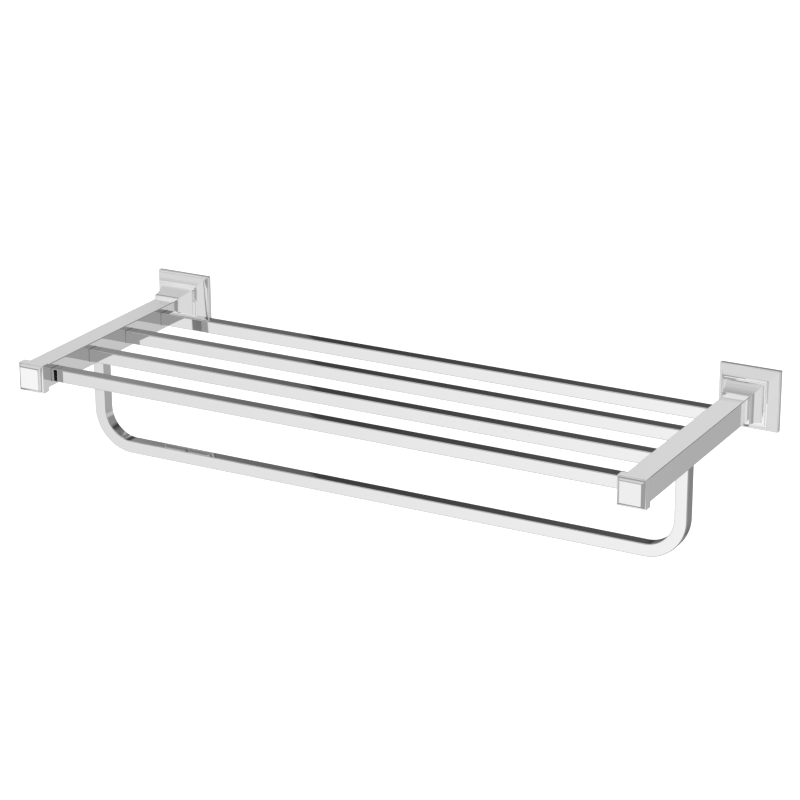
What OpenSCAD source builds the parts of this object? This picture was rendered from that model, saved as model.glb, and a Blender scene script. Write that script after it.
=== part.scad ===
// Towel rack: two square arms on wall rosettes carry four cross rails,
// and a U-shaped towel bar hangs under the arms.
// Millimetres. +X runs to the right along the wall, +Y runs into the wall
// and +Z is up. The wall face is y = 0 and the arm axes lie at z = 0.

/* [Overall] */
// Distance between the two arm axes
arm_spacing = 600; // [400:10:900]
// Front face of the end cap pads, measured from the wall
overall_depth = 266; // [200:1:340]

/* [Arms] */
// Side of the square arm tube
arm_w = 22; // [18:0.5:30]
// Wall of the arm tube
arm_wall = 1.5; // [1:0.1:3]
// Edge radius of the arm tube
arm_edge_r = 0.6; // [0.3:0.1:2]

/* [End caps] */
// Side of the square end cap
cap_w = 26.8; // [22:0.2:36]
// Length of the straight sides of the cap
cap_side = 8.6; // [4:0.2:14]
// Side of the raised pad on the cap
pad_w = 20; // [14:0.5:28]
// Length of the cap spigot inside the arm
cap_spigot = 6; // [4:0.5:12]

/* [Rosettes] */
// Side of the square rosette
rosette_w = 58; // [46:1:80]
// Straight rim of the rosette at the wall
rosette_rim = 5; // [2:0.5:8]
// Side of the outer stepped land
land_outer_w = 44; // [36:0.5:60]
// Side of the inner stepped land
land_inner_w = 40.6; // [32:0.2:56]
// Side of the square foot of the upper cove
cove_foot_w = 35.2; // [30:0.2:50]
// Distance of the outer land from the wall
land_outer_d = 15.4; // [10:0.2:24]
// Rise of the inner land over the outer one
land_step = 1.2; // [0.6:0.1:3]
// Side of the square lip round the arm
lip_w = 26.8; // [24:0.2:36]
// Distance of the lip from the wall
lip_d = 36.5; // [28:0.5:50]
// Radius of the lower cove
lower_cove_r = 21; // [14:0.5:40]
// Radius of the upper cove
upper_cove_r = 75; // [50:1:200]

/* [Rails] */
// Side of the square rail tube
rail_w = 12; // [8:0.5:18]
// Wall of the rail tube
rail_wall = 1; // [0.8:0.1:2]
// Edge radius of the rail tube
rail_edge_r = 0.8; // [0.3:0.1:2]
// Distance of the first rail's back face from the wall
rail_first = 51.6; // [46:0.2:70]
// Pitch of the rails
rail_pitch = 61.2; // [40:0.2:70]

/* [Towel bar] */
// Side of the square bar tube
bar_w = 12; // [8:0.5:18]
// Wall of the bar tube
bar_wall = 1.2; // [0.8:0.1:2]
// Distance of the bar axis from the wall
bar_y = 150; // [100:1:200]
// Height of the lower run's axis under the arm axes
bar_drop = 98; // [60:1:160]
// Bend radius of the bar axis
bar_bend_r = 34; // [24:1:60]

/* [Wall fixing] */
// Diameter of the wall holes in the bracket
wall_hole_d = 5; // [4:0.1:7]
// Vertical spacing of the two holes of a bracket
wall_hole_pitch = 24; // [18:1:26]
// Side of the square bracket plate
bracket_w = 48; // [40:1:52]
// Thickness of the bracket plate
bracket_t = 3; // [2:0.5:4]
// Thickness of the rubber pad behind the bracket
pad_t = 0.8; // [0.5:0.1:1]

/* [Hidden] */
half_span = arm_spacing / 2;
cove_cap = (cap_w - pad_w) / 2;
cap_back = overall_depth - cap_side - cove_cap;
land_inner_d = land_outer_d + land_step;
web_front = 30;
web_back = 26;
hub_w = 38.8;
hub_wall = 3;
hub_front = 12.5;
well_w = 39;
plate_well_w = 53;
plate_well_d = 4.6;
screw_well_w = 24;
grub_y = 9;
tube_in = arm_w - 2 * arm_wall;
rail_reach = 3;
rail_end = half_span - arm_w / 2 + arm_wall + rail_reach;
leg_top = -arm_w / 2 + arm_wall + rail_reach;
insert_len = 18;
plug_len = 6;
eps = 0.5;
$fn = 96;

// ---- shared shapes -------------------------------------------------------

// Square with rounded corners
module soft_square(w, r) {
  square([w, w - 2 * r], center = true);
  square([w - 2 * r, w], center = true);
  for (sx = [-1, 1], sz = [-1, 1])
    translate([sx * (w / 2 - r), sz * (w / 2 - r)]) circle(r = r);
}

// Section of a square tube
module tube_section(w, wall, r) {
  difference() {
    soft_square(w, r);
    square([w - 2 * wall, w - 2 * wall], center = true);
  }
}

// Puts a section drawn as [x, z] at distance d from the wall and runs it out to the front
module outward(d, len) {
  translate([0, -d, 0]) rotate([90, 0, 0]) linear_extrude(height = len) children();
}

// Square box on the arm axis, from distance d to distance d + len
module block(w, d, len) {
  translate([-w / 2, -d - len, -w / 2]) cube([w, len, w]);
}

// Round bar on the arm axis
module round_bar(dia, d, len) {
  translate([0, -d, 0]) rotate([90, 0, 0]) cylinder(d = dia, h = len);
}

// Square-plan body with mitred corners from a half profile [x, distance]
module mitred(w, edge_r, depth) {
  intersection() {
    translate([0, 0, -w]) linear_extrude(height = 2 * w) mirror([0, 1]) children();
    rotate([0, 90, 0]) translate([0, 0, -w]) linear_extrude(height = 2 * w) mirror([0, 1]) children();
    outward(0, depth) soft_square(w, edge_r);
  }
}

// Moves a child to one arm, side is -1 for left and 1 for right
module at_arm(side) {
  translate([side * half_span, 0, 0]) children();
}

// ---- wall fixing ---------------------------------------------------------

module wall_hole_pair(len) {
  for (s = [-1, 1])
    translate([0, eps, s * wall_hole_pitch / 2]) rotate([90, 0, 0]) cylinder(d = wall_hole_d, h = len);
}

module bracket_pad(side) {
  at_arm(side) difference() {
    block(bracket_w, 0, pad_t);
    wall_hole_pair(pad_t + 2 * eps);
  }
}

// Plate on the wall with a square hub that the rosette slides over
module wall_bracket(side) {
  at_arm(side) difference() {
    union() {
      outward(pad_t, bracket_t) soft_square(bracket_w, 2);
      outward(pad_t + bracket_t, hub_front - pad_t - bracket_t)
        difference() {
          soft_square(hub_w, 1);
          square([hub_w - 2 * hub_wall, hub_w - 2 * hub_wall], center = true);
        }
    }
    wall_hole_pair(pad_t + bracket_t + 2 * eps);
  }
}

// ---- rosette -------------------------------------------------------------

function chord_mid(a, b) = [(a[0] + b[0]) / 2, (a[1] + b[1]) / 2];
function chord_len(a, b) = sqrt(pow(a[0] - b[0], 2) + pow(a[1] - b[1], 2));
function arc_centre(a, b, r) = [
  chord_mid(a, b)[0] + (b[1] - a[1]) / chord_len(a, b) * sqrt(r * r - pow(chord_len(a, b) / 2, 2)),
  chord_mid(a, b)[1] + (a[0] - b[0]) / chord_len(a, b) * sqrt(r * r - pow(chord_len(a, b) / 2, 2))
];

lower_from = [rosette_w / 2, rosette_rim];
lower_to = [land_outer_w / 2, land_outer_d];
lower_centre = arc_centre(lower_from, lower_to, lower_cove_r);
upper_from = [cove_foot_w / 2, land_inner_d];
upper_to = [lip_w / 2, lip_d];
upper_centre = arc_centre(upper_from, upper_to, upper_cove_r);

// Half profile of the rosette, mirrored: rim, lower cove, two lands, upper cove
module rosette_profile() {
  translate([-rosette_w / 2, 0]) square([rosette_w, rosette_rim]);
  difference() {
    translate([-rosette_w / 2, rosette_rim - 0.01]) square([rosette_w, land_outer_d - rosette_rim + 0.01]);
    for (s = [-1, 1]) translate([s * lower_centre[0], lower_centre[1]]) circle(r = lower_cove_r);
  }
  translate([-land_inner_w / 2, land_outer_d - 1]) square([land_inner_w, land_step + 1]);
  difference() {
    translate([-cove_foot_w / 2, land_inner_d - 1]) square([cove_foot_w, lip_d - land_inner_d + 1]);
    for (s = [-1, 1]) translate([s * upper_centre[0], upper_centre[1]]) circle(r = upper_cove_r);
  }
}

// Hollow square rosette with a pocket for the arm and a well for the bracket
module rosette(side) {
  at_arm(side) difference() {
    mitred(rosette_w, 0.8, lip_d) rosette_profile();
    translate([0, eps, 0]) block(plate_well_w, 0, plate_well_d + eps);
    block(well_w, plate_well_d - eps, hub_front + 1.5 - plate_well_d + eps);
    block(screw_well_w, hub_front, web_back - hub_front);
    block(arm_w, web_front, lip_d - web_front + eps);
    round_bar(6.6, web_back - eps, web_front - web_back + 2 * eps);
    translate([0, -grub_y, -rosette_w / 2]) cylinder(d = 5.2, h = rosette_w / 2 - hub_w / 2 + 1);
  }
}

// Set screw with a hex socket, pointing up at the bracket hub
module grub_screw() {
  difference() {
    translate([0, 0, -6]) cylinder(d = 5, h = 6);
    translate([0, 0, -6.5]) cylinder(d = 2.9, h = 3, $fn = 6);
  }
}

module rosette_grub_screws() {
  color("dimgray") for (side = [-1, 1])
    at_arm(side) translate([0, -grub_y, -hub_w / 2]) grub_screw();
}

// ---- arms ----------------------------------------------------------------

// Threaded block in the wall end of an arm
module arm_insert(side) {
  at_arm(side) difference() {
    block(tube_in, web_front, insert_len);
    round_bar(6.1, web_front - eps, insert_len - 1 + eps);
  }
}

module arm_screws() {
  color("silver") for (side = [-1, 1]) at_arm(side) difference() {
    union() {
      round_bar(10, web_back - 7.6, 6);
      round_bar(6, web_back - 1.7, 22);
    }
    translate([0, -web_back + 7.6 + eps, 0]) rotate([90, 0, 0]) cylinder(d = 5.8, h = 3 + eps, $fn = 6);
  }
}

module arm_washers() {
  color("silver") for (side = [-1, 1]) at_arm(side) difference() {
    round_bar(12, web_back - 1.6, 1.6);
    round_bar(6.4, web_back - 2, 2.4);
  }
}

// Square tube with openings for the rails and for the leg of the towel bar
module arm(side) {
  at_arm(side) difference() {
    outward(web_front, cap_back - web_front) tube_section(arm_w, arm_wall, arm_edge_r);
    for (i = [0:3])
      translate([-side * (arm_w / 2 - arm_wall / 2) - arm_wall, -rail_front(i), -rail_w / 2])
        cube([2 * arm_wall, rail_w, rail_w]);
    translate([-bar_w / 2, -bar_y - bar_w / 2, -arm_w / 2 - arm_wall])
      cube([bar_w, bar_w, 3 * arm_wall]);
  }
}

function rail_front(i) = rail_first + i * rail_pitch + rail_w;

// Half profile of the cap, mirrored: straight sides, cove and raised pad
module cap_profile() {
  translate([-cap_w / 2, 0]) square([cap_w, cap_side]);
  difference() {
    translate([-cap_w / 2, cap_side - 1]) square([cap_w, cove_cap + 1]);
    for (s = [-1, 1]) {
      translate([s * cap_w / 2, cap_side + cove_cap]) circle(r = cove_cap);
      translate([s * (cap_w / 2 + cove_cap / 2), cap_side + cove_cap / 2])
        square([cove_cap, cove_cap], center = true);
    }
  }
}

module end_cap(side) {
  at_arm(side) {
    translate([0, -cap_back, 0]) mitred(cap_w, 0.6, cap_side + cove_cap) cap_profile();
    block(tube_in, cap_back - cap_spigot, cap_spigot + 0.2);
  }
}

// ---- rails ---------------------------------------------------------------

module rail(i) {
  translate([-rail_end, -rail_front(i) + rail_w / 2, 0]) rotate([0, 90, 0])
    linear_extrude(height = 2 * rail_end) tube_section(rail_w, rail_wall, rail_edge_r);
}

// Closing plugs in the rail ends inside one arm
module rail_plugs(side) {
  plug_w = rail_w - 2 * rail_wall;
  for (i = [0:3])
    translate([side * (rail_end - plug_len / 2), -rail_front(i) + rail_w / 2, 0])
      cube([plug_len, plug_w, plug_w], center = true);
}

// ---- towel bar -----------------------------------------------------------

module bar_section() {
  tube_section(bar_w, bar_wall, rail_edge_r);
}

module towel_bar() {
  run = half_span - bar_bend_r;
  bend_z = -bar_drop + bar_bend_r;
  color("gainsboro") translate([0, -bar_y, 0]) {
    translate([-run, 0, -bar_drop]) rotate([0, 90, 0]) linear_extrude(height = 2 * run) bar_section();
    for (s = [-1, 1]) {
      translate([s * half_span, 0, bend_z]) linear_extrude(height = leg_top - bend_z) bar_section();
      translate([s * run, 0, bend_z]) rotate([90, 0, 0]) rotate([0, 0, s > 0 ? -90 : 180])
        rotate_extrude(angle = 90) translate([bar_bend_r, 0]) bar_section();
    }
  }
}

// Closing plugs in the leg ends inside the arms
module bar_plugs() {
  plug_w = bar_w - 2 * bar_wall;
  color("gold") for (side = [-1, 1])
    at_arm(side) translate([0, -bar_y, leg_top - plug_len / 2]) cube([plug_w, plug_w, plug_len], center = true);
}

// ---- nodes ---------------------------------------------------------------

color("slategray") wall_bracket(-1);  // wall_bracket_left
color("slategray") wall_bracket(1);  // wall_bracket_right
color("black") bracket_pad(-1);  // bracket_pad_left
color("black") bracket_pad(1);  // bracket_pad_right
color("lightgray") rosette(-1);  // rosette_left
color("lightgray") rosette(1);  // rosette_right
rosette_grub_screws();
color("gold") arm_insert(-1);  // arm_insert_left
color("gold") arm_insert(1);  // arm_insert_right
arm_screws();
arm_washers();
color("whitesmoke") arm(-1);  // arm_left
color("whitesmoke") arm(1);  // arm_right
color("lightgray") end_cap(-1);  // end_cap_left
color("lightgray") end_cap(1);  // end_cap_right
color("gainsboro") rail(0);  // rail_1
color("gainsboro") rail(1);  // rail_2
color("gainsboro") rail(2);  // rail_3
color("gainsboro") rail(3);  // rail_4
color("gold") rail_plugs(-1);  // rail_plugs_left
color("gold") rail_plugs(1);  // rail_plugs_right
towel_bar();
bar_plugs();
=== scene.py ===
import math

import bmesh
import bpy
from mathutils import Matrix, Vector


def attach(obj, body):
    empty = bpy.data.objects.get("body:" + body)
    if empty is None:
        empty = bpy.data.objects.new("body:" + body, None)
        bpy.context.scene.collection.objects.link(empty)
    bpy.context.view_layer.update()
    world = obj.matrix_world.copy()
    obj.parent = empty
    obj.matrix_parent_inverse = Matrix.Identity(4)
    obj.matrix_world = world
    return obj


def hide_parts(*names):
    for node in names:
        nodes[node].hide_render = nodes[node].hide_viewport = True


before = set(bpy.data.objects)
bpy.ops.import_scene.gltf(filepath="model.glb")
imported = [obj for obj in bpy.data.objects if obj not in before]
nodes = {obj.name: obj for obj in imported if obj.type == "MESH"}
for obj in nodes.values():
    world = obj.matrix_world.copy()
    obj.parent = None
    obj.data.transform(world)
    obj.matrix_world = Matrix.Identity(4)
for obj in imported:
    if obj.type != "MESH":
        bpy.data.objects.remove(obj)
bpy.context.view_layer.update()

# ---- sizes of the rack's pieces, in millimetres --------------------------
# The wall is at Y = 0 and the rack stands out towards -Y. A depth is a distance
# from the wall, and heights are measured from the arms' axes.

MM = 0.001
HALF_SPAN = 300.0

ARM_SIDE, ARM_WALL, ARM_EDGE = 22.0, 1.5, 0.6
ARM_START, ARM_END = 30.0, 254.0

RAIL_SIDE, RAIL_WALL, TUBE_EDGE = 12.0, 1.0, 0.8
RAIL_END = 293.5
RAIL_DEPTHS = [57.6 + 61.2 * i for i in range(4)]
SEAM = 0.25

BAR_WALL, BAR_DEPTH, BAR_DROP, BEND_RADIUS = 1.2, 150.0, 98.0, 34.0
BEND_STEPS = 28
LEG_TOP = -6.5

CAP_HALF, PAD_HALF, CAP_COVE, CAP_EDGE = 13.4, 10.0, 3.4, 0.45
CAP_BACK, CAP_FRONT = 254.0, 266.0
CAP_COVE_STEP = 9
SPIGOT_HALF, SPIGOT_END = 9.5, 248.0

RIM_HALF, RIM_DEPTH, RIM_EDGE = 29.0, 5.0, 0.6
LOWER_LAND_HALF, LOWER_LAND_DEPTH = 22.0, 15.4
UPPER_LAND_HALF, UPPER_LAND_DEPTH = 20.3, 16.6
UPPER_COVE_HALF, LIP_HALF, LIP_DEPTH = 17.6, 13.4, 36.5
LOWER_COVE_RADIUS, UPPER_COVE_RADIUS = 21.0, 75.0
LAND_EDGE, LIP_EDGE = 0.35, 0.4
LOWER_COVE_STEPS, UPPER_COVE_STEPS = 14, 16

# the rosette's hollow has a well for the bracket's plate, one for its hub and one for
# the arm's screw, with a web between the last and the arm
PLATE_WELL_HALF, PLATE_WELL_DEPTH = 26.5, 4.6
HUB_WELL_HALF, HUB_WELL_DEPTH = 19.5, 14.0
SCREW_WELL_HALF, WEB_BACK = 12.0, 26.0
ARM_SCREW_RADIUS = 3.3
SET_SCREW_RADIUS, SET_SCREW_DEPTH, SET_SCREW_HEIGHT = 2.6, 9.0, -24.0

MERGE = 0.002
MATCH = 0.01
SHARP_ANGLE = math.radians(38)
QUARTER_TURN = math.pi / 2


# ---- mesh helpers --------------------------------------------------------

def mm(x, y, z):
    return Vector((x, y, z)) * MM


def cut(obj, holes):
    """Takes a bmesh of punches and drills out of a piece."""
    mesh = bpy.data.meshes.new("cutter")
    holes.to_mesh(mesh)
    holes.free()
    tool = bpy.data.objects.new("cutter", mesh)
    bpy.context.scene.collection.objects.link(tool)
    mod = obj.modifiers.new("cut", "BOOLEAN")
    mod.operation = "DIFFERENCE"
    mod.solver = "EXACT"
    mod.object = tool
    bpy.context.view_layer.update()
    evaluated = obj.evaluated_get(bpy.context.evaluated_depsgraph_get())
    made = bpy.data.meshes.new_from_object(evaluated)
    obj.modifiers.remove(mod)
    old = obj.data
    obj.data = made
    made.name = obj.name
    bpy.data.meshes.remove(old)
    bpy.data.objects.remove(tool)
    bpy.data.meshes.remove(mesh)


def finish_piece(name, bm, cad_node, material, holes=None):
    """Turns a bmesh into a piece of the rack that stands for one CAD node."""
    bmesh.ops.remove_doubles(bm, verts=bm.verts, dist=MERGE * MM)
    bmesh.ops.recalc_face_normals(bm, faces=bm.faces)
    mesh = bpy.data.meshes.new(name)
    bm.to_mesh(mesh)
    bm.free()
    for polygon in mesh.polygons:
        polygon.use_smooth = True
    obj = bpy.data.objects.new(name, mesh)
    bpy.context.scene.collection.objects.link(obj)
    obj.data.materials.append(material)
    if holes:
        cut(obj, holes)
    obj.data.set_sharp_from_angle(angle=SHARP_ANGLE)
    flat = obj.modifiers.new("flat_faces", "WEIGHTED_NORMAL")
    flat.mode = "FACE_AREA"
    flat.weight = 100
    flat.keep_sharp = True
    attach(obj, "root")
    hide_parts(cad_node)
    return obj


def punch(holes, centre, size):
    """Adds a square punch to a bmesh of holes."""
    bmesh.ops.create_cube(holes, size=1,
                          matrix=Matrix.Translation(centre) @ Matrix.Diagonal((*size, 1)))


def drill(holes, centre, turn, radius, length):
    """Adds a round drill to a bmesh of holes."""
    bmesh.ops.create_cone(holes, cap_ends=True, segments=48,
                          radius1=radius * MM, radius2=radius * MM, depth=length * MM,
                          matrix=Matrix.Translation(centre) @ turn)


def square_loop(bm, side, edge_r, place):
    """A square outline with rounded corners, as a loop of edges in the plane that place sets."""
    before = set(bm.faces)
    made = bmesh.ops.create_grid(bm, x_segments=1, y_segments=1, size=side / 2 * MM)
    bmesh.ops.bevel(bm, geom=made["verts"], offset=edge_r * MM, offset_type="OFFSET",
                    segments=4, profile=0.5, affect="VERTICES", material=-1)
    face = next(f for f in bm.faces if f not in before)
    verts = list(face.verts)
    edges = list(face.edges)
    bmesh.ops.delete(bm, geom=[face], context="FACES_ONLY")
    bmesh.ops.transform(bm, matrix=place, verts=verts)
    return edges


def far_side(made, key="geom"):
    """The moved verts and edges of an extrusion."""
    verts = {g for g in made[key] if isinstance(g, bmesh.types.BMVert)}
    edges = [g for g in made[key]
             if isinstance(g, bmesh.types.BMEdge) and all(v in verts for v in g.verts)]
    return list(verts), edges


def run_on(bm, edges, step):
    """Extrudes a loop of edges along a straight step and gives the loop at the far end."""
    verts, edges = far_side(bmesh.ops.extrude_edge_only(bm, edges=edges))
    bmesh.ops.translate(bm, verts=verts, vec=step)
    return edges


def bend_on(bm, edges, centre, axis, angle, steps):
    """Spins a loop of edges round a bend and gives the loop at the far end."""
    verts = list({v for e in edges for v in e.verts})
    made = bmesh.ops.spin(bm, geom=verts + list(edges), cent=centre, axis=axis,
                          angle=angle, steps=steps, use_merge=False, use_duplicate=False)
    return far_side(made, "geom_last")[1]


def turn_in(bm, edges, half, place):
    """Closes a tube's end from its outer outline to its square bore, and gives the bore's loop."""
    verts, edges = far_side(bmesh.ops.extrude_edge_only(bm, edges=edges))
    to_end = place.inverted()
    for v in verts:
        flat = to_end @ v.co
        v.co = place @ Vector((max(-half, min(half, flat.x)),
                               max(-half, min(half, flat.y)), flat.z))
    return edges


def tube(bm, side, wall, edge_r, place, path):
    """A hollow square tube along a path of runs and bends, its walls closed at both ends."""
    half = (side / 2 - wall) * MM
    outer = square_loop(bm, side, edge_r, place)
    bore = turn_in(bm, outer, half, place)
    for step in path:
        if isinstance(step, Vector):
            outer, bore = run_on(bm, outer, step), run_on(bm, bore, step)
            place = Matrix.Translation(step) @ place
        else:
            outer, bore = bend_on(bm, outer, *step), bend_on(bm, bore, *step)
            centre, axis, angle, _ = step
            place = (Matrix.Translation(centre) @ Matrix.Rotation(angle, 4, axis)
                     @ Matrix.Translation(-centre) @ place)
    turn_in(bm, outer, half, place)


def square_plan(bm, rings):
    """A square-plan body on the Y axis from rings of (half width, depth)."""
    half, depth = rings[0]
    place = Matrix.Translation(mm(0, -depth, 0)) @ Matrix.Rotation(QUARTER_TURN, 4, "X")
    bmesh.ops.create_grid(bm, x_segments=1, y_segments=1, size=half * MM, matrix=place)
    bm.faces.ensure_lookup_table()
    face = bm.faces[0]
    for i, (new_half, new_depth) in enumerate(rings[1:]):
        made = bmesh.ops.extrude_face_region(bm, geom=[face])
        if i:
            bmesh.ops.delete(bm, geom=[face], context="FACES_ONLY")
        verts = [g for g in made["geom"] if isinstance(g, bmesh.types.BMVert)]
        face = next(g for g in made["geom"] if isinstance(g, bmesh.types.BMFace))
        k = new_half / half
        bmesh.ops.scale(bm, vec=(k, 1, k), verts=verts)
        bmesh.ops.translate(bm, verts=verts, vec=mm(0, depth - new_depth, 0))
        half, depth = new_half, new_depth


def ring_edges(bm, half, depth):
    """The four edges of one ring of a square-plan body."""
    def on_ring(v):
        return (abs(max(abs(v.co.x), abs(v.co.z)) - half * MM) < MATCH * MM
                and abs(v.co.y + depth * MM) < MATCH * MM)
    return [e for e in bm.edges if on_ring(e.verts[0]) and on_ring(e.verts[1])]


def corner_edges(bm, half, depth_a, depth_b):
    """The four corner edges of a square-plan body between two depths."""
    def at_corner(v):
        return (abs(abs(v.co.x) - half * MM) < MATCH * MM
                and abs(abs(v.co.z) - half * MM) < MATCH * MM
                and (depth_a - MATCH) * MM < -v.co.y < (depth_b + MATCH) * MM)
    return [e for e in bm.edges if at_corner(e.verts[0]) and at_corner(e.verts[1])
            and abs(e.verts[0].co.y - e.verts[1].co.y) > 10 * MATCH * MM]


def soften(bm, edges, radius):
    """Rounds sharp edges off."""
    bmesh.ops.bevel(bm, geom=edges, offset=radius * MM, offset_type="OFFSET", segments=3,
                    profile=0.5, affect="EDGES", clamp_overlap=True, material=-1)


def arc_rings(start, end, radius, steps):
    """Rings on a hollow arc between two (half width, depth) points, bulging to the axis."""
    (ax, ay), (bx, by) = start, end
    chord = math.hypot(bx - ax, by - ay)
    rise = math.sqrt(radius ** 2 - (chord / 2) ** 2)
    cx = (ax + bx) / 2 + (by - ay) / chord * rise
    cy = (ay + by) / 2 + (ax - bx) / chord * rise
    a0, a1 = math.atan2(ay - cy, ax - cx), math.atan2(by - cy, bx - cx)
    if a1 - a0 > math.pi:
        a1 -= 2 * math.pi
    if a0 - a1 > math.pi:
        a0 -= 2 * math.pi
    return [(cx + radius * math.cos(a0 + (a1 - a0) * i / steps),
             cy + radius * math.sin(a0 + (a1 - a0) * i / steps)) for i in range(steps + 1)]


# ---- shader helpers ------------------------------------------------------

def new_group(name, inputs, outputs):
    group = bpy.data.node_groups.new(name, "ShaderNodeTree")
    for label, kind, value in inputs:
        socket = group.interface.new_socket(label, in_out="INPUT", socket_type=kind)
        if value is not None:
            socket.default_value = value
    for label, kind in outputs:
        group.interface.new_socket(label, in_out="OUTPUT", socket_type=kind)
    return group, group.nodes.new("NodeGroupInput"), group.nodes.new("NodeGroupOutput")


def place_group(tree, group, position, values):
    """Puts a node group into a material, with its own values."""
    node = tree.nodes.new("ShaderNodeGroup")
    node.node_tree = group
    for label, value in values.items():
        node.inputs[label].default_value = value
    tree.links.new(position, node.inputs["Position"])
    return node


def math_node(tree, operation, a, b=None, c=None, clamp=False):
    node = tree.nodes.new("ShaderNodeMath")
    node.operation = operation
    node.use_clamp = clamp
    for socket, value in zip(node.inputs, (a, b, c)):
        if value is None:
            continue
        if isinstance(value, (int, float)):
            socket.default_value = value
        else:
            tree.links.new(value, socket)
    return node.outputs[0]


def start_material(name):
    material = bpy.data.materials.new(name)
    material.use_nodes = True
    tree = material.node_tree
    shader = next(n for n in tree.nodes if n.type == "BSDF_PRINCIPLED")
    return material, tree, shader


def object_position(tree):
    return tree.nodes.new("ShaderNodeTexCoord").outputs["Object"]


def tone_mix(tree, mask, low, high):
    mix = tree.nodes.new("ShaderNodeMix")
    mix.data_type = "RGBA"
    mix.inputs["A"].default_value = (*low, 1)
    mix.inputs["B"].default_value = (*high, 1)
    tree.links.new(mask, mix.inputs["Factor"])
    return mix.outputs["Result"]


def add_relief(tree, shader, height, strength, distance):
    """Fine relief on a surface, from a height that changes over it."""
    bump = tree.nodes.new("ShaderNodeBump")
    bump.inputs["Strength"].default_value = strength
    bump.inputs["Distance"].default_value = distance
    tree.links.new(height, bump.inputs["Height"])
    tree.links.new(bump.outputs["Normal"], shader.inputs["Normal"])


# ---- finishes ------------------------------------------------------------

def polish_group():
    """Buffing haze, hairline polish marks and dried water spots of bright plating."""
    group, given, out = new_group("plating_polish", [
        ("Position", "NodeSocketVector", None), ("Gloss Floor", "NodeSocketFloat", 0.03),
        ("Haze", "NodeSocketFloat", 0.03), ("Hairlines", "NodeSocketFloat", 0.02),
        ("Spots", "NodeSocketFloat", 0.05)],
        [("Roughness", "NodeSocketFloat"), ("Spot Mask", "NodeSocketFloat"),
         ("Height", "NodeSocketFloat")])
    links = group.links
    haze = group.nodes.new("ShaderNodeTexNoise")
    haze.inputs["Scale"].default_value = 14
    haze.inputs["Detail"].default_value = 3
    links.new(given.outputs["Position"], haze.inputs["Vector"])
    stretch = group.nodes.new("ShaderNodeMapping")
    stretch.inputs["Scale"].default_value = (35, 900, 900)
    stretch.inputs["Rotation"].default_value = (0.03, 0.05, 0.02)
    links.new(given.outputs["Position"], stretch.inputs["Vector"])
    hair = group.nodes.new("ShaderNodeTexNoise")
    hair.inputs["Scale"].default_value = 1
    hair.inputs["Detail"].default_value = 2
    links.new(stretch.outputs[0], hair.inputs["Vector"])
    spot = group.nodes.new("ShaderNodeTexVoronoi")
    spot.inputs["Scale"].default_value = 110
    spot.inputs["Randomness"].default_value = 1
    links.new(given.outputs["Position"], spot.inputs["Vector"])
    # a water spot dries to a thin ring, and only where the haze is thick
    off_ring = math_node(group, "ABSOLUTE",
                         math_node(group, "SUBTRACT", spot.outputs["Distance"], 0.16))
    ring = math_node(group, "SUBTRACT", 1,
                     math_node(group, "MULTIPLY", off_ring, 22, clamp=True))
    rare = math_node(group, "GREATER_THAN", haze.outputs["Fac"], 0.62)
    mask = math_node(group, "MULTIPLY", ring, rare, clamp=True)
    marks = math_node(group, "POWER", hair.outputs["Fac"], 4)
    rough = given.outputs["Gloss Floor"]
    for amount, label in ((haze.outputs["Fac"], "Haze"), (marks, "Hairlines"), (mask, "Spots")):
        rough = math_node(group, "ADD", rough,
                          math_node(group, "MULTIPLY", amount, given.outputs[label]))
    links.new(rough, out.inputs["Roughness"])
    links.new(mask, out.inputs["Spot Mask"])
    links.new(hair.outputs["Fac"], out.inputs["Height"])
    return group


def grain_group():
    """Fine grain of a dull surface, which a small stretch draws out into tool marks."""
    group, given, out = new_group("dull_grain", [
        ("Position", "NodeSocketVector", None), ("Stretch", "NodeSocketVector", (1, 1, 1)),
        ("Scale", "NodeSocketFloat", 900), ("Detail", "NodeSocketFloat", 4),
        ("Gloss Floor", "NodeSocketFloat", 0.6), ("Gloss Range", "NodeSocketFloat", 0.15)],
        [("Grain", "NodeSocketFloat"), ("Roughness", "NodeSocketFloat")])
    links = group.links
    stretch = group.nodes.new("ShaderNodeMapping")
    links.new(given.outputs["Position"], stretch.inputs["Vector"])
    links.new(given.outputs["Stretch"], stretch.inputs["Scale"])
    grain = group.nodes.new("ShaderNodeTexNoise")
    links.new(stretch.outputs[0], grain.inputs["Vector"])
    links.new(given.outputs["Scale"], grain.inputs["Scale"])
    links.new(given.outputs["Detail"], grain.inputs["Detail"])
    links.new(grain.outputs["Fac"], out.inputs["Grain"])
    links.new(math_node(group, "MULTIPLY_ADD", grain.outputs["Fac"],
                        given.outputs["Gloss Range"], given.outputs["Gloss Floor"]),
              out.inputs["Roughness"])
    return group


POLISH = polish_group()
DULL_GRAIN = grain_group()
PLATE_TONE, SPOT_DIMMING = 0.93, 0.93


def chrome(name, polish_values):
    """Bright chrome plate, nearly a mirror."""
    spotted = PLATE_TONE * SPOT_DIMMING
    material, tree, shader = start_material(name)
    polish = place_group(tree, POLISH, object_position(tree), polish_values)
    shader.inputs["Metallic"].default_value = 1
    tree.links.new(polish.outputs["Roughness"], shader.inputs["Roughness"])
    tree.links.new(tone_mix(tree, polish.outputs["Spot Mask"], [PLATE_TONE] * 3, [spotted] * 3),
                   shader.inputs["Base Color"])
    add_relief(tree, shader, polish.outputs["Height"], 0.02, 0.00001)
    return material


def dull_finish(name, dark, light, grain_values):
    """A dull surface with fine grain in its tone, gloss and relief: unplated metal, rubber and the
    caps' near-black painted shade.
    """
    material, tree, shader = start_material(name)
    grain = place_group(tree, DULL_GRAIN, object_position(tree), grain_values)
    tree.links.new(tone_mix(tree, grain.outputs["Grain"], dark, light),
                   shader.inputs["Base Color"])
    tree.links.new(grain.outputs["Roughness"], shader.inputs["Roughness"])
    return material, tree, shader, grain.outputs["Grain"]


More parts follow.
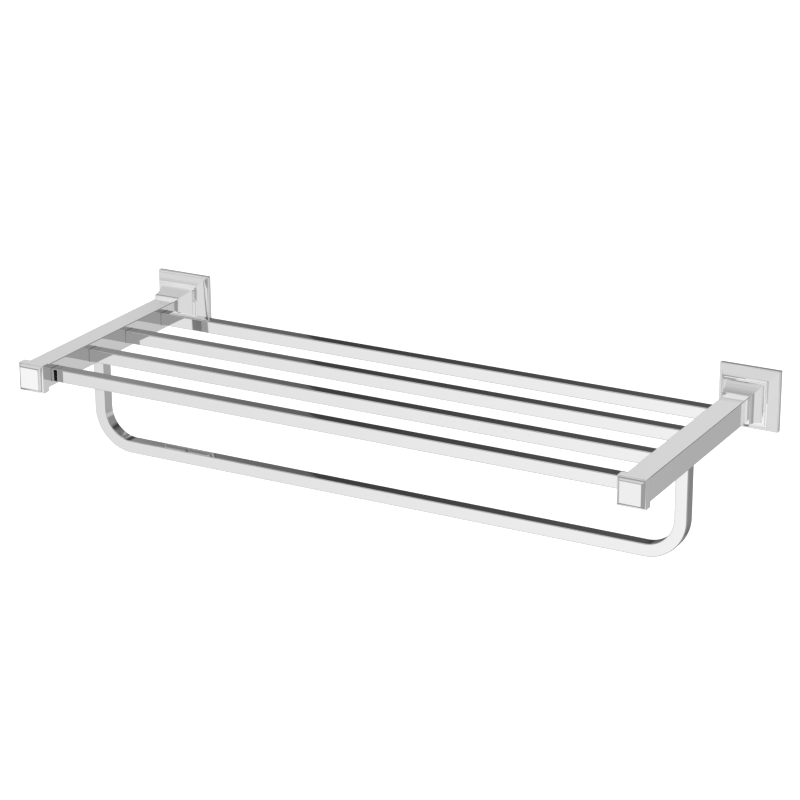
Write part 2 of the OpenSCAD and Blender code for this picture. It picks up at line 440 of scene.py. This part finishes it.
def turned_metal(name, dark, light, gloss_floor):
    """Unpolished metal with drawn-out tool marks."""
    material, tree, shader, grain = dull_finish(name, dark, light, {
        "Stretch": (0.15, 1, 1), "Scale": 420, "Detail": 5,
        "Gloss Floor": gloss_floor, "Gloss Range": 0.2})
    shader.inputs["Metallic"].default_value = 1
    add_relief(tree, shader, grain, 0.2, 0.00005)
    return material


def matt_dark(name, dark, light, gloss_floor):
    """Black rubber, and the near-black painted shade on the caps' back step."""
    material, tree, shader, grain = dull_finish(name, dark, light, {
        "Scale": 900, "Detail": 4, "Gloss Floor": gloss_floor, "Gloss Range": 0.15})
    shader.inputs["Specular IOR Level"].default_value = 0.3
    add_relief(tree, shader, grain, 0.3, 0.0001)
    return material


CHROME_CASTING = chrome("chrome_on_zinc", {
    "Gloss Floor": 0.03, "Haze": 0.03, "Hairlines": 0.02, "Spots": 0.06})
CHROME_TUBE = chrome("chrome_on_brass_tube", {
    "Gloss Floor": 0.02, "Haze": 0.02, "Hairlines": 0.03, "Spots": 0.06})
# near-black painted shade for the caps' back step, standing in for the shade there
CAP_BACK_PAINTED_SHADE = matt_dark("cap_back_painted_shade", (0.008, 0.008, 0.008), (0.016, 0.016, 0.016), 0.7)
PAD_RUBBER = matt_dark("black_pad_rubber", (0.012, 0.012, 0.013), (0.035, 0.035, 0.036), 0.6)
ZINC_STEEL = turned_metal("zinc_plated_steel", (0.5, 0.51, 0.53), (0.62, 0.63, 0.65), 0.28)
SCREW_STEEL = turned_metal("stainless_screw", (0.46, 0.46, 0.47), (0.56, 0.56, 0.57), 0.2)
TURNED_BRASS = turned_metal("turned_brass", (0.66, 0.5, 0.24), (0.80, 0.64, 0.33), 0.22)

# the pieces inside keep their CAD shape
INNER_FINISH = {
    "wall_bracket": ZINC_STEEL, "bracket_pad": PAD_RUBBER, "arm_insert": TURNED_BRASS,
    "rail_plugs": TURNED_BRASS, "bar_plugs": TURNED_BRASS, "arm_screws": SCREW_STEEL,
    "arm_washers": SCREW_STEEL, "rosette_grub": SCREW_STEEL,
}
for node_name, node_obj in nodes.items():
    for start, finish in INNER_FINISH.items():
        if node_name.startswith(start):
            node_obj.data.materials.clear()
            node_obj.data.materials.append(finish)


# ---- arms and end caps ---------------------------------------------------

def arm(side_name, side):
    """A square tube with openings for the four rails and for one leg of the bar."""
    bm = bmesh.new()
    start = mm(side * HALF_SPAN, -ARM_START, 0)
    tube(bm, ARM_SIDE, ARM_WALL, ARM_EDGE,
         Matrix.Translation(start) @ Matrix.Rotation(QUARTER_TURN, 4, "X"),
         [mm(0, ARM_START - ARM_END, 0)])
    holes = bmesh.new()
    mid_wall = ARM_SIDE / 2 - ARM_WALL / 2
    opening, through = RAIL_SIDE + 2 * SEAM, 2 * ARM_WALL
    for depth in RAIL_DEPTHS:
        punch(holes, mm(side * (HALF_SPAN - mid_wall), -depth, 0), mm(through, opening, opening))
    punch(holes, mm(side * HALF_SPAN, -BAR_DEPTH, -mid_wall), mm(opening, opening, through))
    return finish_piece("arm_tube_" + side_name, bm, "arm_" + side_name,
                        CHROME_TUBE, holes)


def end_cap(side_name, side):
    """A square cap with a spigot behind, and a quarter-round cove to a raised pad in front."""
    bm = bmesh.new()
    cove_start = CAP_FRONT - CAP_COVE
    rings = [(SPIGOT_HALF, SPIGOT_END), (SPIGOT_HALF, CAP_BACK), (CAP_HALF, CAP_BACK),
             (CAP_HALF, cove_start)]
    rings += [(CAP_HALF - CAP_COVE * math.sin(math.radians(a)),
               CAP_FRONT - CAP_COVE * math.cos(math.radians(a)))
              for a in range(CAP_COVE_STEP, 90, CAP_COVE_STEP)]
    rings += [(PAD_HALF, CAP_FRONT)]
    square_plan(bm, rings)
    soften(bm, ring_edges(bm, CAP_HALF, CAP_BACK) + ring_edges(bm, CAP_HALF, cove_start)
           + corner_edges(bm, CAP_HALF, CAP_BACK, cove_start), CAP_EDGE)
    soften(bm, ring_edges(bm, PAD_HALF, CAP_FRONT), LAND_EDGE)
    bmesh.ops.translate(bm, verts=bm.verts, vec=mm(side * HALF_SPAN, 0, 0))
    obj = finish_piece("cap_" + side_name, bm, "end_cap_" + side_name,
                       CHROME_CASTING)
    # the narrow back step, which faces the wall, is painted near black as painted shade
    obj.data.materials.append(CAP_BACK_PAINTED_SHADE)
    for polygon in obj.data.polygons:
        if polygon.normal.y > 0.99 and abs(polygon.center.y + CAP_BACK * MM) < MATCH * MM:
            polygon.material_index = 1
    return obj


# ---- rosettes ------------------------------------------------------------

def rosette(side_name, side):
    """A hollow stepped shell: rim, lower cove, two small lands, upper cove and lip."""
    bm = bmesh.new()
    rings = [(SCREW_WELL_HALF, WEB_BACK), (SCREW_WELL_HALF, HUB_WELL_DEPTH),
             (HUB_WELL_HALF, HUB_WELL_DEPTH), (HUB_WELL_HALF, PLATE_WELL_DEPTH),
             (PLATE_WELL_HALF, PLATE_WELL_DEPTH), (PLATE_WELL_HALF, 0), (RIM_HALF, 0)]
    rings += arc_rings((RIM_HALF, RIM_DEPTH), (LOWER_LAND_HALF, LOWER_LAND_DEPTH),
                       LOWER_COVE_RADIUS, LOWER_COVE_STEPS)
    rings += [(UPPER_LAND_HALF, LOWER_LAND_DEPTH), (UPPER_LAND_HALF, UPPER_LAND_DEPTH)]
    rings += arc_rings((UPPER_COVE_HALF, UPPER_LAND_DEPTH), (LIP_HALF, LIP_DEPTH),
                       UPPER_COVE_RADIUS, UPPER_COVE_STEPS)
    rings += [(ARM_SIDE / 2, LIP_DEPTH), (ARM_SIDE / 2, ARM_START)]
    square_plan(bm, rings)
    soften(bm, ring_edges(bm, RIM_HALF, 0) + ring_edges(bm, RIM_HALF, RIM_DEPTH)
           + corner_edges(bm, RIM_HALF, 0, RIM_DEPTH), RIM_EDGE)
    soften(bm, ring_edges(bm, LOWER_LAND_HALF, LOWER_LAND_DEPTH), LAND_EDGE)
    soften(bm, ring_edges(bm, UPPER_LAND_HALF, UPPER_LAND_DEPTH), LAND_EDGE)
    soften(bm, ring_edges(bm, LIP_HALF, LIP_DEPTH), LIP_EDGE)
    bmesh.ops.translate(bm, verts=bm.verts, vec=mm(side * HALF_SPAN, 0, 0))
    holes = bmesh.new()
    mid_web = (WEB_BACK + ARM_START) / 2
    drill(holes, mm(side * HALF_SPAN, -mid_web, 0), Matrix.Rotation(QUARTER_TURN, 4, "X"),
          ARM_SCREW_RADIUS, 10)
    drill(holes, mm(side * HALF_SPAN, -SET_SCREW_DEPTH, SET_SCREW_HEIGHT), Matrix.Identity(4),
          SET_SCREW_RADIUS, 12)
    return finish_piece("rosette_shell_" + side_name, bm, "rosette_" + side_name,
                        CHROME_CASTING, holes)


# ---- rails and towel bar -------------------------------------------------

def rail(number, depth):
    """A straight square tube from inside one arm to inside the other."""
    bm = bmesh.new()
    tube(bm, RAIL_SIDE, RAIL_WALL, TUBE_EDGE,
         Matrix.Translation(mm(-RAIL_END, -depth, 0)) @ Matrix.Rotation(QUARTER_TURN, 4, "Y"),
         [mm(2 * RAIL_END, 0, 0)])
    return finish_piece(f"rail_tube_{number}", bm, f"rail_{number}", CHROME_TUBE)


def towel_bar():
    """A square tube bent into a U, from one arm down, across and up to the other."""
    bm = bmesh.new()
    bend_z = -BAR_DROP + BEND_RADIUS
    run_x = HALF_SPAN - BEND_RADIUS
    leg = LEG_TOP - bend_z
    across = Vector((0, 1, 0))
    tube(bm, RAIL_SIDE, BAR_WALL, TUBE_EDGE,
         Matrix.Translation(mm(-HALF_SPAN, -BAR_DEPTH, LEG_TOP)),
         [mm(0, 0, -leg),
          (mm(-run_x, -BAR_DEPTH, bend_z), across, -QUARTER_TURN, BEND_STEPS),
          mm(2 * run_x, 0, 0),
          (mm(run_x, -BAR_DEPTH, bend_z), across, -QUARTER_TURN, BEND_STEPS),
          mm(0, 0, leg)])
    return finish_piece("towel_bar_tube", bm, "towel_bar", CHROME_TUBE)


arms, caps, rosettes = {}, {}, {}
for side_name, side in (("left", -1), ("right", 1)):
    arms[side_name] = arm(side_name, side)
    caps[side_name] = end_cap(side_name, side)
    rosettes[side_name] = rosette(side_name, side)
rails = [rail(i + 1, depth) for i, depth in enumerate(RAIL_DEPTHS)]
towel_bar()


# ---- studio floor and surroundings ---------------------------------------
# Directions are a turn, in degrees round from the front (-Y) and positive to the
# right, and a rise, in degrees above the horizon.

FLOOR_HEIGHT = -0.7


def studio_floor():
    bm = bmesh.new()
    bmesh.ops.create_grid(bm, x_segments=1, y_segments=1, size=20)
    mesh = bpy.data.meshes.new("floor")
    bm.to_mesh(mesh)
    bm.free()
    floor = bpy.data.objects.new("floor", mesh)
    bpy.context.scene.collection.objects.link(floor)
    floor.location.z = FLOOR_HEIGHT
    floor.visible_glossy = False
    material, _, shader = start_material("pale_floor")
    shader.inputs["Base Color"].default_value = (0.95, 0.95, 0.95, 1)
    shader.inputs["Roughness"].default_value = 0.9
    shader.inputs["Specular IOR Level"].default_value = 0
    shader.inputs["Emission Color"].default_value = (1, 1, 1, 1)
    shader.inputs["Emission Strength"].default_value = 0.9
    floor.data.materials.append(material)


def studio_walls():
    """Pale surroundings with softer and darker panels for the plating to mirror."""
    world = bpy.data.worlds.new("studio")
    bpy.context.scene.world = world
    world.use_nodes = True
    tree = world.node_tree
    tree.nodes.clear()
    split = tree.nodes.new("ShaderNodeSeparateXYZ")
    tree.links.new(tree.nodes.new("ShaderNodeTexCoord").outputs["Generated"], split.inputs[0])
    x, y, z = split.outputs
    round_up = math_node(tree, "ARCTAN2", x, math_node(tree, "MULTIPLY", y, -1))
    turn = math_node(tree, "MULTIPLY", round_up, math.degrees(1))
    rise = math_node(tree, "MULTIPLY", math_node(tree, "ARCSINE", z), math.degrees(1))
    away = math_node(tree, "ABSOLUTE", turn)

    def above(value, low, soft):
        return math_node(tree, "MULTIPLY_ADD", math_node(tree, "SUBTRACT", value, low),
                         1 / soft, 0.5, clamp=True)

    def below(value, high, soft):
        return math_node(tree, "MULTIPLY_ADD", math_node(tree, "SUBTRACT", high, value),
                         1 / soft, 0.5, clamp=True)

    def between(value, low, high, soft):
        return math_node(tree, "MULTIPLY", above(value, low, soft), below(value, high, soft))

    def ramp(value, low, high, at_low, at_high):
        node = tree.nodes.new("ShaderNodeMapRange")
        node.clamp = True
        for label, number in (("From Min", low), ("From Max", high),
                              ("To Min", at_low), ("To Max", at_high)):
            node.inputs[label].default_value = number
        tree.links.new(value, node.inputs["Value"])
        return node.outputs["Result"]

    def curve(value, low, high, power, at_low, gain):
        """A tone that grows from at_low by gain as value goes from low to high."""
        part = math_node(tree, "POWER", ramp(value, low, high, 0, 1), power)
        return math_node(tree, "MULTIPLY_ADD", part, gain, at_low)

    def blend(mask, tone_off, tone_on):
        return math_node(
            tree, "ADD",
            math_node(tree, "MULTIPLY", math_node(tree, "SUBTRACT", 1, mask), tone_off),
            math_node(tree, "MULTIPLY", mask, tone_on))

    def panel(level, turn_mask, rise_mask, tone):
        return blend(math_node(tree, "MULTIPLY", turn_mask, rise_mask), level, tone)

    # dark below, grey above and pale straight overhead
    level = blend(between(rise, 0, 120, 8),
                  ramp(rise, -60, -10, 0.22, 0.25), ramp(rise, 48, 54, 0.37, 0.72))
    # a dim panel high up behind
    level = panel(level, between(away, 110, 200, 20), between(rise, 28, 53, 6), 0.27)
    # a dark belt above the horizon at both sides and behind
    sides = math_node(tree, "MAXIMUM", between(turn, 14, 200, 12), between(turn, -200, -62, 16))
    level = panel(level, sides, between(rise, 0, 28, 8), 0.14)
    # a grey flag low down on the right, a pale wall low down on the left
    level = panel(level, between(turn, -8, 143, 8), between(rise, -60, 4, 8), 0.36)
    level = panel(level, between(turn, -138, -88, 12), between(rise, -60, 0, 10), 0.6)
    # pale walls at eye level on both sides
    level = panel(level, between(away, 66, 130, 12), between(rise, -8, 24, 8), 0.62)
    # the large soft white card in front, which falls off to the left
    level = panel(level, between(turn, -50, -8, 6), between(rise, -46, -6, 8),
                  ramp(turn, -37, -21, 0.76, 0.95))
    # behind on the right, a pale strip at the horizon and grey ground below it
    level = panel(level, between(turn, 125, 200, 10), between(rise, -8, 4, 6), 0.55)
    ground = math_node(tree, "MULTIPLY", ramp(turn, 143, 158, 0.42, 0.24),
                       ramp(turn, 158, 180, 1, 0.6))
    level = panel(level, between(turn, 142, 200, 5), between(rise, -48, -7, 6), ground)
    # a grey band behind that is dark beyond its seam and reaches lower on the left
    seam = 149.4
    band = blend(math_node(tree, "GREATER_THAN", away, seam),
                 curve(away, seam, 145.2, 1.6, 0.118, 0.15),
                 curve(away, seam, 157.5, 1.5, 0.048, 0.04))
    foot = ramp(turn, -1, 1, -18, 3)
    height = math_node(tree, "MULTIPLY", above(rise, foot, 6), below(rise, 38, 14))
    level = panel(level, between(away, 128, 200, 10), height, band)

    studio = tree.nodes.new("ShaderNodeBackground")
    studio.inputs["Color"].default_value = (1, 1, 1, 1)
    tree.links.new(level, studio.inputs["Strength"])
    backdrop = tree.nodes.new("ShaderNodeBackground")
    backdrop.inputs["Color"].default_value = (1, 1, 1, 1)
    ray = tree.nodes.new("ShaderNodeLightPath")
    pick = tree.nodes.new("ShaderNodeMixShader")
    tree.links.new(ray.outputs["Is Camera Ray"], pick.inputs[0])
    tree.links.new(studio.outputs[0], pick.inputs[1])
    tree.links.new(backdrop.outputs[0], pick.inputs[2])
    out = tree.nodes.new("ShaderNodeOutputWorld")
    tree.links.new(pick.outputs[0], out.inputs["Surface"])


studio_floor()
studio_walls()


# ---- soft cards ----------------------------------------------------------

CARD_DISTANCE = 6
CARD_CENTRE = Vector((0, -0.13, 0))


def soft_card(name, turn, rise, size, radiance, receivers):
    """A soft light that only some pieces mirror, as a flagged softbox would be."""
    light = bpy.data.lights.new(name, "AREA")
    light.shape = "RECTANGLE"
    light.size, light.size_y = size
    light.energy = radiance * math.pi * size[0] * size[1]
    light.use_shadow = False
    obj = bpy.data.objects.new(name, light)
    bpy.context.scene.collection.objects.link(obj)
    t, r = math.radians(turn), math.radians(rise)
    way = Vector((math.sin(t) * math.cos(r), -math.cos(t) * math.cos(r), math.sin(r)))
    obj.location = way * CARD_DISTANCE + CARD_CENTRE
    obj.rotation_mode = "QUATERNION"
    obj.rotation_quaternion = way.to_track_quat("Z", "Y")
    obj.visible_camera = False
    obj.visible_diffuse = False
    group = bpy.data.collections.new(name + "_pieces")
    for piece in receivers:
        group.objects.link(piece)
    obj.light_linking.receiver_collection = group


both_arms = [arms["left"], arms["right"]]
both_rosettes = [rosettes["left"], rosettes["right"]]
left_end = [arms["left"], caps["left"]]
right_end = [arms["right"], caps["right"]]

# name, turn, rise, (width, height) in metres, radiance, the pieces that mirror it
for card in (
    ("high_card_left", -147, 20, (5, 2.6), 0.40, left_end),
    ("high_card_right", -156, 20, (5, 2.6), 0.62, right_end),
    ("high_card_rosettes", -151, 18, (5, 1.2), 0.16, both_rosettes),
    ("low_card", 152, -21, (3.6, 2.4), 0.2, left_end + right_end),
    ("low_card_rosettes", 156, -21, (2.4, 2.4), 0.16, both_rosettes),
    ("high_front_card", -28, 12, (3, 4), 0.5, both_arms + both_rosettes),
    ("front_right_card", 12, -20, (4.6, 2.2), 0.5, both_rosettes),
    ("front_right_card_arm", 12, -20, (4.6, 2.2), 0.15, [arms["right"]]),
    ("low_back_card_rails", -157, -22, (2.6, 2.4), 0.6, rails),
    ("front_card_left", -35, -19, (1.6, 1.6), 0.22, [caps["left"]]),
    ("cove_card", -146, 40.5, (6, 2.9), 0.34, both_rosettes),
    ("rim_card", -40, 37.5, (6, 2.9), 0.38, both_rosettes),
    ("high_front_card_left", -38, 24, (6, 6), 0.34, [caps["left"]]),
    ("right_wall", 93, -16, (11, 6), 0.39, both_rosettes + [caps["left"]]),
    ("left_wall", -110, -15, (5, 3), 0.15, both_rosettes),
    ("below", -138, -50, (5, 5), 0.5, [rosettes["right"]]),
):
    soft_card(*card)


# ---- camera --------------------------------------------------------------

CAMERA_PLACE = Vector((1.12558, -2.17056, 0.83578))
CAMERA_AIM = Vector((0.01156, -0.12855, -0.01171))
CAMERA_ROLL = math.radians(-0.258)
LENS, SENSOR = 122.81, 36

camera_data = bpy.data.cameras.new("camera")
camera_data.lens = LENS
camera_data.sensor_width = SENSOR
camera = bpy.data.objects.new("camera", camera_data)
bpy.context.scene.collection.objects.link(camera)
camera.location = CAMERA_PLACE
to_aim = (CAMERA_AIM - CAMERA_PLACE).to_track_quat("-Z", "Y").to_matrix()
camera.rotation_mode = "QUATERNION"
camera.rotation_quaternion = (to_aim @ Matrix.Rotation(CAMERA_ROLL, 3, "Z")).to_quaternion()
bpy.context.scene.camera = camera
bpy.context.scene.view_settings.view_transform = "Standard"
